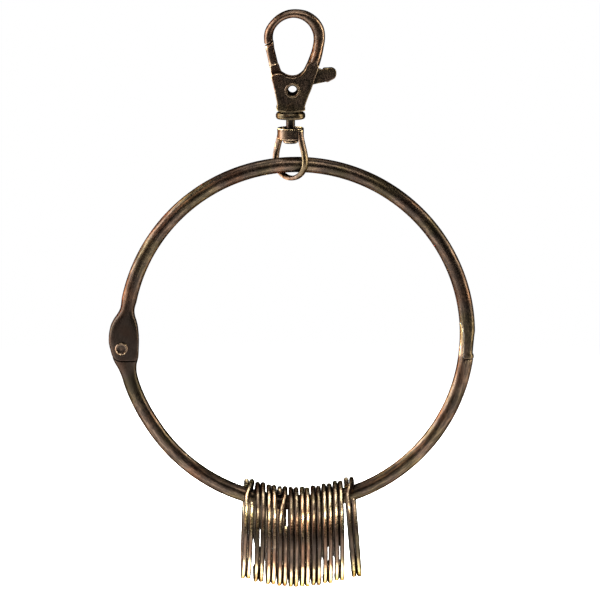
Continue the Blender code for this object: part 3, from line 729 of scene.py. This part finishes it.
def make_lower_half():
    """The lower half ring with the hinge's tongue and the latch's inner hook."""
    lower = loft("ring_lower_half", [ring_section(a) for a in ring_angles(187.0, 364.6)])
    far = CUT_REACH
    left, right = HINGE_X - far, HINGE_X + far
    above = hinge_edge(FORK_END_R + JOINT_GAP, far)
    above += [(right, HINGE_Z + far), (left, HINGE_Z + far), (left, HINGE_Z)]
    seat = LATCH_Z - JOINT_GAP / MM
    narrow, wide = SHELF_REACH
    shelf = [about_hinge(narrow, seat), about_hinge(narrow, 0.6), about_hinge(wide, 2.0),
             about_hinge(wide, 3.4), about_hinge(79.82, 4.7), about_hinge(79.4, 5.75),
             about_hinge(79.4, 9.0), about_hinge(86.0, 9.0), about_hinge(86.0, seat)]
    crown = [about_hinge(76.0, LATCH_TOP), about_hinge(86.0, LATCH_TOP),
             about_hinge(86.0, 10.0), about_hinge(76.0, 10.0)]
    combine(lower, [
        prism("shoulder", above, -far, far),
        prism("latch_shelf", shelf, -far, far),
        prism("latch_crown", crown, -far, far)], "DIFFERENCE")
    tongue = arc(HINGE_X, HINGE_Z, TONGUE_R, -35, 215, 48)
    tongue += [(HINGE_X - 1.75 * MM, HINGE_Z - 2.6 * MM), (HINGE_X - 0.9 * MM, HINGE_Z - 4.0 * MM),
               (HINGE_X + 2.4 * MM, HINGE_Z - 4.6 * MM), (HINGE_X + 3.2 * MM, HINGE_Z - 3.3 * MM)]
    combine(lower, [prism("tongue", tongue, -TONGUE_HALF, TONGUE_HALF)], "UNION")
    bore = prism("tongue_bore", circle(HINGE_X, HINGE_Z, RIVET_BORE_R, 24), -far, far)
    combine(lower, [bore], "DIFFERENCE")
    break_edges(lower, EDGE_BREAK)
    return lower


def make_hinge_rivet():
    """A solid rivet with a rounded, dimpled head on each side of the fork."""
    face = WIRE_R + RIVET_HEAD_GAP
    top = face + RIVET_HEAD_H
    half = [(RIVET_HEAD_R * 0.6, face + 0.66 * RIVET_HEAD_H), (RIVET_HEAD_R * 0.74, top),
            (RIVET_HEAD_R * 0.86, top), (RIVET_HEAD_R, face + 0.5 * RIVET_HEAD_H),
            (RIVET_HEAD_R, face), (RIVET_R, face)]
    profile = [(0.0, face + 0.6 * RIVET_HEAD_H), *half]
    profile += [(r, -h) for r, h in reversed(profile)]
    return turned("ring_hinge_rivet", rounded(profile, 0.3 * MM), 72, along_y(HINGE_X, HINGE_Z))


# Clasp ------------------------------------------------------------------------------

# (x, z, width) along the middle of the hook, from its nose over the top to its root, in mm.
HOOK_LINE = (
    (-5.06, -5.9, 2.1), (-5.1, -3.8, 2.1), (-4.4, -1.95, 1.9), (-2.8, -0.2, 1.85),
    (-0.75, 0.85, 1.95), (1.36, 1.05, 2.05), (3.5, 0.5, 2.4), (5.3, -0.85, 2.7),
    (6.4, -2.7, 2.85), (6.7, -4.65, 2.7), (6.45, -6.7, 2.6), (5.95, -8.8, 2.75),
    (5.2, -11.0, 2.95), (4.5, -12.6, 3.1),
)
BODY_OUTLINE = (
    xz(-2.85, -21.6), xz(-3.1, -20.0), xz(-3.55, -17.8), xz(-4.1, -15.2), xz(-4.5, -13.3),
    xz(-3.2, -12.75), xz(-2.1, -12.75), xz(-1.15, -13.3), xz(-0.2, -13.62), xz(0.66, -13.68),
    xz(1.5, -13.5), xz(2.3, -13.05), xz(3.0, -12.35), xz(3.5, -11.5), xz(3.95, -10.6),
    xz(4.8, -10.1), xz(6.2, -10.6), xz(6.55, -11.4), xz(5.75, -13.8), xz(4.95, -16.2),
    xz(4.1, -18.3), xz(3.3, -20.6), xz(2.95, -21.6),
)
SLOT_OUTLINE = (
    xz(-8.0, -9.5), xz(1.2, -9.5), xz(1.9, -13.4), xz(3.2, -12.6), xz(5.0, -11.6), xz(9.0, -11.3),
    xz(9.0, -18.4), xz(3.3, -18.7), xz(1.6, -19.4), xz(-2.0, -19.4), xz(-2.75, -18.0),
    xz(-3.35, -15.0), xz(-4.6, -13.5), xz(-8.0, -13.5),
)
GATE_BAR = (
    xz(-5.95, -6.44), xz(-3.98, -5.21), xz(-3.75, -7.2), xz(-3.3, -9.0), xz(-2.85, -10.9),
    xz(-3.6, -11.25), xz(-4.85, -11.55), xz(-5.25, -9.6), xz(-5.6, -8.0),
)
GATE_WEB = (
    xz(-4.5, -10.8), xz(-2.95, -10.5), xz(-2.35, -11.9), xz(-1.7, -13.0), xz(-0.6, -14.0),
    xz(1.2, -14.6), xz(3.2, -13.4), xz(5.2, -12.15), xz(6.7, -11.75), xz(7.4, -12.0),
    xz(8.7, -11.65), xz(9.8, -11.65), xz(10.5, -12.2), xz(10.7, -13.0), xz(10.4, -13.9),
    xz(9.5, -14.5), xz(8.2, -14.85), xz(6.4, -15.25), xz(4.8, -15.7), xz(3.0, -17.2),
    xz(1.6, -18.3), xz(0.45, -18.65), xz(-1.0, -18.0), xz(-1.7, -16.9), xz(-2.6, -15.4),
    xz(-3.3, -14.6), xz(-4.35, -13.2), xz(-4.6, -12.4),
)
# Heights in mm between which the hook deepens into its root, and how its end then sinks into
# the cheeks.
ROOT_START_Z = -4.5
ROOT_LENGTH = 5.5
ROOT_END_Z = -10.4
ROOT_SLOPE = 0.15

HOOK_NOSE_CUT = (xz(-7.0, -6.95), xz(-3.0, -4.45), xz(-3.0, -9.0), xz(-7.0, -9.0))
GATE_WEB_FRONT = -1.05 * MM
GATE_WEB_BACK = 0.05 * MM

SPRING_WIRE_R = 0.18 * MM
SPRING_R = 1.72 * MM
SPRING_FRONT = 0.35 * MM
SPRING_PITCH = 0.4 * MM
SPRING_TURNS = 1.75
SPRING_START_DEG = 118
SPRING_STEPS = 60
SPRING_LEGS = (1.1 * MM, 1.2 * MM)


def path_tube(name, line, half_width, half_depth, exponent, sides):
    """A loft in the XZ plane along points (x, z), with half widths and depths at each point."""
    sections = []
    for k, (x, z) in enumerate(line):
        x0, z0 = line[max(k - 1, 0)]
        x1, z1 = line[min(k + 1, len(line) - 1)]
        tangent = Vector((x1 - x0, 0.0, z1 - z0)).normalized()
        side = Vector((tangent.z, 0.0, -tangent.x))
        rim = superellipse(half_width[k], half_depth[k], exponent, sides)
        sections.append([Vector((x, 0.0, z)) + side * a + Vector((0.0, b, 0.0)) for a, b in rim])
    return loft(name, sections)


def hook_half_depth(x, z):
    """Half the hook's depth at a point of its middle line, given in mm."""
    t = min(max((ROOT_START_Z - z) / ROOT_LENGTH, 0.0), 1.0) if x > 0 else 0.0
    grown = (ROOT_HALF_DEPTH - HOOK_HALF_DEPTH) * t * t * (3 - 2 * t)
    return HOOK_HALF_DEPTH + grown - max(ROOT_END_Z - z, 0.0) * ROOT_SLOPE * MM


def make_clasp():
    """The hook, the two cheeks and the foot of the clasp in one casting."""
    body = prism("clasp_casting", smooth_outline(BODY_OUTLINE), -BODY_HALF_DEPTH, BODY_HALF_DEPTH,
                 bevel=BODY_BEVEL, segments=7)
    rows = [(k, *row) for k, row in enumerate(HOOK_LINE)]
    stations = [smooth_row(rows, k / 8) for k in range(8 * (len(rows) - 1) + 1)]
    hook = path_tube("hook", [xz(x, z) for x, z, _ in stations],
                     [width / 2 * MM for _, _, width in stations],
                     [hook_half_depth(x, z) for x, z, _ in stations], exponent=2.25, sides=40)
    combine(hook, [prism("nose", HOOK_NOSE_CUT, -CUT_REACH, CUT_REACH)], "DIFFERENCE")
    foot = turned("foot", [xz(0.0, -19.9), xz(2.7, -19.9), xz(2.85, -21.6), xz(2.75, -22.0),
                           xz(3.25, -22.15), xz(3.45, -22.6), xz(3.45, -23.2),
                           (3.2 * MM, FOOT_BOTTOM), (0.0, FOOT_BOTTOM)], 64)
    head = POST_HEAD_R + SOCKET_GAP
    socket = turned("socket", [(0.0, SOCKET_TOP), (head, SOCKET_TOP), (head, SOCKET_SHELF),
                               (POST_BORE_R, SOCKET_SHELF), (POST_BORE_R, -25.0 * MM),
                               (0.0, -25.0 * MM)], 48)
    combine(body, [hook, foot], "UNION")
    combine(body, [prism("slot", SLOT_OUTLINE, -SLOT_HALF, SLOT_HALF),
                   prism("bore", circle(PIVOT_X, PIVOT_Z, PIVOT_BORE_R, 45), -CUT_REACH, CUT_REACH),
                   socket], "DIFFERENCE")
    cast(body, voxel=0.1 * MM, passes=9)
    return body


def make_gate():
    """The gate that closes the hook, its web in the slot and its thumb tab, in one lever."""
    web = prism("gate_lever", smooth_outline(GATE_WEB, 3), GATE_WEB_FRONT, GATE_WEB_BACK)
    bar = prism("bar", GATE_BAR, -BAR_HALF_DEPTH, BAR_HALF_DEPTH, bevel=BAR_BEVEL, segments=7)
    tab_outline = smooth_outline([point for point in GATE_WEB if point[0] > TAB_START], 3)
    tab = prism("tab", tab_outline, -TAB_HALF_DEPTH, TAB_HALF_DEPTH, bevel=TAB_BEVEL)
    combine(web, [bar, tab], "UNION")
    bore = prism("bore", circle(PIVOT_X, PIVOT_Z, PIVOT_BORE_R, 45), -CUT_REACH, CUT_REACH)
    combine(web, [bore], "DIFFERENCE")
    cast(web, voxel=0.07 * MM, passes=5)
    return web


def make_eyelet():
    """The hollow rivet that the gate turns on, rolled over both cheeks."""
    face = BODY_HALF_DEPTH + EYELET_FLANGE_GAP
    top = face + EYELET_FLANGE_H
    half = [(EYELET_BORE_R, face - 0.6 * MM), (EYELET_BORE_R + 0.06 * MM, face - 0.2 * MM),
            (EYELET_BORE_R + 0.3 * MM, top - 0.1 * MM), (EYELET_BORE_R + 0.48 * MM, top),
            (EYELET_FLANGE_R - 0.15 * MM, top), (EYELET_FLANGE_R, face + 0.15 * MM),
            (EYELET_FLANGE_R - 0.06 * MM, face), (EYELET_R, face)]
    half = rounded(half, 0.12 * MM)
    loop = list(half) + [(r, -h) for r, h in reversed(half)]
    return turned("gate_eyelet", loop, 72, along_y(PIVOT_X, PIVOT_Z))


def make_spring():
    """The torsion spring behind the lever: a short coil on the eyelet with two legs."""
    path = []
    start = math.radians(SPRING_START_DEG)
    steps = int(SPRING_TURNS * SPRING_STEPS)
    for k in range(steps + 1):
        t = start - 2 * math.pi * SPRING_TURNS * k / steps
        depth = SPRING_FRONT + SPRING_PITCH * SPRING_TURNS * k / steps
        path.append(Vector((SPRING_R * math.cos(t), depth, SPRING_R * math.sin(t))))
    lead = Vector((math.cos(start + math.pi / 2), 0.0, math.sin(start + math.pi / 2)))
    path.insert(0, path[0] + lead * SPRING_LEGS[0])
    end = start - 2 * math.pi * SPRING_TURNS
    tail = Vector((math.cos(end - math.pi / 2), 0.0, math.sin(end - math.pi / 2)))
    path.append(path[-1] + tail * SPRING_LEGS[1])
    sections = []
    for k, point in enumerate(path):
        along = (path[min(k + 1, len(path) - 1)] - path[max(k - 1, 0)]).normalized()
        across = along.cross(Vector((0.0, 1.0, 0.0))).normalized()
        up = across.cross(along)
        rim = superellipse(SPRING_WIRE_R, SPRING_WIRE_R, 2.0, 16)
        centre = point + Vector((PIVOT_X, 0.0, PIVOT_Z))
        sections.append([centre + across * a + up * b for a, b in rim])
    return loft("torsion_spring", sections)


# Swivel -----------------------------------------------------------------------------

def make_post():
    """The stud between clasp and cup, with a head captured in the foot and one peened below."""
    profile = [xz(0.0, -20.6), xz(1.5, -20.6), (POST_HEAD_R, -20.8 * MM),
               (POST_HEAD_R, -21.55 * MM), (POST_R, -21.55 * MM), (POST_R, -28.75 * MM),
               xz(1.75, -28.75), xz(1.75, -29.1), xz(1.3, -29.4), xz(0.0, -29.45)]
    return turned("swivel_stud", rounded(profile, 0.1 * MM), 64)


def bow_line():
    """The middle line of the bow in its own plane: down, out, round the bottom and up again."""
    right = []
    for k in range(25):
        t = k / 24
        ease = t * t * (3 - 2 * t)
        right.append((BOW_TOP_HALF + (BOW_HALF - BOW_TOP_HALF) * ease,
                      BOW_TOP + (BOW_BEND - BOW_TOP) * t))
    for k in range(1, 30):
        turn = math.radians(3 * k)
        right.append((BOW_HALF * math.cos(turn), BOW_BEND - BOW_DROP * math.sin(turn)))
    left = [(-u, z) for u, z in reversed(right)]
    return right + [(0.0, BOW_BEND - BOW_DROP)] + left


def make_swivel_loop():
    """The cup that turns on the post, with the bow that holds the big ring."""
    cup_profile = [(POST_BORE_R, -26.7 * MM), xz(2.55, -26.7), xz(2.6, -25.7), xz(2.95, -25.7),
                   (CUP_R, -25.85 * MM), (CUP_R, -28.2 * MM), xz(2.9, -28.5),
                   (POST_BORE_R, -28.5 * MM)]
    cup = turned("swivel_cup_and_bow", cup_profile, 72)
    line = bow_line()
    bow = path_tube("bow", line, [BOW_WIRE_HALF_WIDTH] * len(line),
                    [BOW_WIRE_HALF_DEPTH] * len(line), exponent=2.6, sides=32)
    bow.data.transform(Matrix.Rotation(math.radians(-BOW_TURN_DEG), 4, "Z"))
    combine(cup, [bow], "UNION")
    cast(cup, voxel=0.065 * MM, passes=4)
    return cup


# Split rings ------------------------------------------------------------------------

def split_rim(taper):
    """The rounded section of the flat wire, as offsets outwards and sideways. It shrinks where
    the wire's end is filed, at a taper of up to 1."""
    return superellipse(SPLIT_WIDTH / 2 * (1 - 0.35 * taper), SPLIT_TURN / 2 * (1 - 0.3 * taper),
                        SPLIT_EXPONENT, SPLIT_RIM_SIDES)


def make_split_ring(number):
    """Two turns of flat wire, hung over the big ring's wire with its inner edge just clear."""
    joint = JOINTS[f"split_ring_{number:02d}_swing"]
    x, _, pivot_z = joint["pos_m"]
    yaw = math.atan2(joint["axis"][1], joint["axis"][0])
    lean_deg, crossing_deg, span_deg = SPLIT_RINGS[number - 1]
    lean = math.radians(lean_deg)
    tilt = math.hypot(math.asin((x - RING_X) / RING_R) + lean, yaw)
    lift = SPLIT_CLEARANCE + SPLIT_LAYER * math.tan(tilt) + WIRE_R * (1 / math.cos(tilt) - 1)
    centre_z = WIRE_R + lift - (SPLIT_OUTER_R - SPLIT_WIDTH)
    middle_r = SPLIT_OUTER_R - SPLIT_WIDTH / 2
    first = crossing_deg + span_deg / 2 + SPLIT_END_GAP_DEG
    crossing = crossing_deg - span_deg / 2 + 360
    last = crossing + 360 - SPLIT_END_GAP_DEG
    sections = []
    for k in range(SPLIT_STEPS + 1):
        angle = first + (last - first) * k / SPLIT_STEPS
        t = min(max((angle - crossing) / span_deg, 0.0), 1.0)
        side = SPLIT_LAYER / 2 * math.cos(math.pi * t)
        to_end = min(angle - first, last - angle)
        taper = max(0.0, 1 - to_end / SPLIT_TAPER_DEG) ** 2
        turn = math.radians(angle)
        out = Vector((0.0, -math.sin(turn), math.cos(turn)))
        centre = Vector((side, 0.0, 0.0)) + out * middle_r
        sections.append([centre + out * a + Vector((b, 0.0, 0.0)) for a, b in split_rim(taper)])
    ring = loft(f"split_ring_wire_{number:02d}", sections)
    ring.rotation_euler = (0.0, lean, yaw)
    hang = ring.rotation_euler.to_matrix() @ Vector((0.0, 0.0, centre_z))
    ring.location = Vector((x, 0.0, pivot_z)) + hang
    return ring


# Stage ------------------------------------------------------------------------------

VIEW_WIDTH = 140.1 * MM
VIEW_MIDDLE = Vector((2.2, 0.0, -66.3)) * MM
VIEW_ELEVATION = math.radians(8.2)
CAMERA_FAR = 3.0
SENSOR = 36.0
FLOOR_R = 0.58
FLOOR_DROP = 25 * MM
FLOOR_GLOW = 2.2
ROOM_GLOW = 0.07

# The soft lights, all aimed at one point: name, place, size, power in watts and colour.
LIGHTS_AIM = Vector((0.0, 0.0, -0.07))
LIGHTS = (
    ("left", (-0.5, 0.2, 0.05), (0.8, 0.7), 62.0, (1.0, 1.0, 1.0)),
    ("left_side", (-0.5, -0.3, 0.0), (0.08, 0.5), 1.8, (1.0, 0.9, 0.75)),
    ("left_front", (-0.35, -0.5, 0.25), (0.12, 0.3), 1.8, (1.0, 0.62, 0.45)),
    ("right", (0.5, 0.02, 0.05), (0.14, 0.6), 9.5, (1.0, 0.94, 0.78)),
    ("front", (0.05, -0.4, 0.42), (0.4, 0.12), 4.5, (1.0, 0.95, 0.85)),
    ("top", (-0.05, 0.05, 0.55), (0.5, 0.3), 4.5, (1.0, 1.0, 1.0)),
)


def make_camera():
    data = bpy.data.cameras.new("camera")
    data.sensor_width = SENSOR
    data.lens = SENSOR * CAMERA_FAR / VIEW_WIDTH
    data.clip_start, data.clip_end = 0.01, 20.0
    camera = bpy.data.objects.new("camera", data)
    back = Vector((0.0, -math.cos(VIEW_ELEVATION), math.sin(VIEW_ELEVATION)))
    camera.location = VIEW_MIDDLE + back * CAMERA_FAR
    camera.rotation_euler = (-back).to_track_quat("-Z", "Y").to_euler()
    bpy.context.scene.collection.objects.link(camera)
    bpy.context.scene.camera = camera


def soft_light(name, place, size, power, colour):
    data = bpy.data.lights.new(name, "AREA")
    data.shape = "RECTANGLE"
    data.size, data.size_y = size
    data.energy = power
    data.color = colour
    light = bpy.data.objects.new(name, data)
    light.location = place
    light.rotation_euler = (LIGHTS_AIM - Vector(place)).to_track_quat("-Z", "Y").to_euler()
    light.visible_camera = False
    bpy.context.scene.collection.objects.link(light)


def make_floor():
    """A pale floor that fades out into the white backdrop."""
    bm = bmesh.new()
    bmesh.ops.create_circle(bm, cap_ends=True, segments=96, radius=FLOOR_R)
    floor = finish_mesh("floor", bm)
    floor.location = (0.0, 0.0, cad_low.z - FLOOR_DROP)
    paint = Graph("pale_floor")
    here = paint.add("ShaderNodeTexCoord", {}, output="Object")
    grain = paint.noise(here, 60.0, 2.0)
    pale = paint.colours(grain, ((0.3, (0.87, 0.87, 0.87)), (0.7, (0.9, 0.9, 0.9))))
    paint.feed(paint.shader.inputs["Base Color"], pale)
    paint.shader.inputs["Roughness"].default_value = 0.9
    paint.shader.inputs["Emission Color"].default_value = (1.0, 1.0, 1.0, 1.0)
    paint.shader.inputs["Emission Strength"].default_value = FLOOR_GLOW
    far = paint.add("ShaderNodeVectorMath", {0: here}, output="Value", operation="LENGTH")
    fade = paint.ramp(far, FLOOR_R * 0.35, FLOOR_R * 0.97, 1.0, 0.0)
    paint.feed(paint.shader.inputs["Alpha"], fade)
    floor.data.materials.append(paint.material)


def make_backdrop():
    """White all round for the camera, and a dimmer room in the metal's reflections."""
    world = bpy.data.worlds.new("studio")
    bpy.context.scene.world = world
    world.use_nodes = True
    tree = world.node_tree
    room = tree.nodes["Background"]
    room.inputs[0].default_value = (0.95, 0.96, 1.0, 1.0)
    room.inputs[1].default_value = ROOM_GLOW
    white = tree.nodes.new("ShaderNodeBackground")
    white.inputs[0].default_value = (1.0, 1.0, 1.0, 1.0)
    mix = tree.nodes.new("ShaderNodeMixShader")
    path = tree.nodes.new("ShaderNodeLightPath")
    tree.links.new(path.outputs["Is Camera Ray"], mix.inputs[0])
    tree.links.new(room.outputs[0], mix.inputs[1])
    tree.links.new(white.outputs[0], mix.inputs[2])
    tree.links.new(mix.outputs[0], tree.nodes["World Output"].inputs[0])


# The whole object -------------------------------------------------------------------

make_camera()
make_floor()
make_backdrop()
for light in LIGHTS:
    soft_light(*light)
bpy.context.scene.view_settings.view_transform = "Standard"

clasp = make_clasp()
measure_bend(clasp)
dress(clasp, worn_brass_with_painted_light("clasp_metal_and_painted_sheen", on_casting, 0.16, 0.14, wear_and_painted_light=hook_painted_sheen_and_dark_foot),
      "clasp", "clasp_brass", "clasp_body")

gate = make_gate()
measure_bend(gate)
dress(gate, worn_brass_with_painted_light("gate_metal_and_painted_sheen", on_casting, 0.18, 0.16, wear_and_painted_light=bar_wear_sheen_and_dark_tab),
      "trigger", "clasp_brass", "trigger_gate")

eyelet = make_eyelet()
measure_bend(eyelet, 1)
dress(eyelet, worn_brass_with_painted_light("eyelet_finish", on_casting, 0.15, 0.08),
      "clasp", "rivet_brass", "gate_rivet")

spring = make_spring()
dress(spring, spring_steel("spring_finish"), "clasp", "spring_steel", "gate_spring")

post = make_post()
measure_bend(post, 1)
dress(post, worn_brass_with_painted_light("stud_finish", on_casting, 0.15, 0.15),
      "clasp", "swivel_brass", "swivel_post")

loop = make_swivel_loop()
measure_bend(loop)
dress(loop, worn_brass_with_painted_light("loop_finish", on_casting, 0.16, 0.14, ridge=(0.9, 2.4)),
      "swivel", "swivel_brass", "swivel_loop")

upper_half = make_upper_half()
measure_bend(upper_half)
dress(upper_half, worn_brass_with_painted_light("upper_half_metal_and_painted_shade", on_big_ring, 0.22, 0.07, wear_and_painted_light=hinge_leaf_shade_and_less_wear),
      "upper_half", "ring_brass", "upper_arc")

lower_half = make_lower_half()
measure_bend(lower_half)
dress(lower_half, worn_brass_with_painted_light("lower_half_metal_and_painted_light", on_big_ring, 0.28, 0.09, wear_and_painted_light=latch_sheen_and_hinge_leaf_shade),
      "lower_half", "ring_brass", "lower_arc")

rivet = make_hinge_rivet()
measure_bend(rivet, 1)
dress(rivet, worn_brass_with_painted_light("rivet_finish", on_casting, 0.15, 0.1),
      "upper_half", "rivet_brass", "hinge_rivet")

for number in range(1, len(SPLIT_RINGS) + 1):
    ring = make_split_ring(number)
    measure_bend(ring, 1)
    measure_side(ring)
    wear = 0.35 + 0.1 * math.sin(2.4 * number)
    # Each split ring gets painted shade on its sides and just below its middle, and painted
    # highlight with wear at its bottom.
    finish = worn_brass_with_painted_light(f"split_metal_and_painted_light_{number:02d}", on_split_ring, 0.24, wear,
                        ridge=(2.5, 6.0), offset=0.013 * number, sides=0.6, wear_and_painted_light=painted_mid_shade_bottom_wear_and_sheen,
                        bump_strength=0.2)
    dress(ring, finish, f"split_ring_body_{number:02d}", "split_ring_brass",
          f"split_ring_{number:02d}")

bpy.context.view_layer.update()
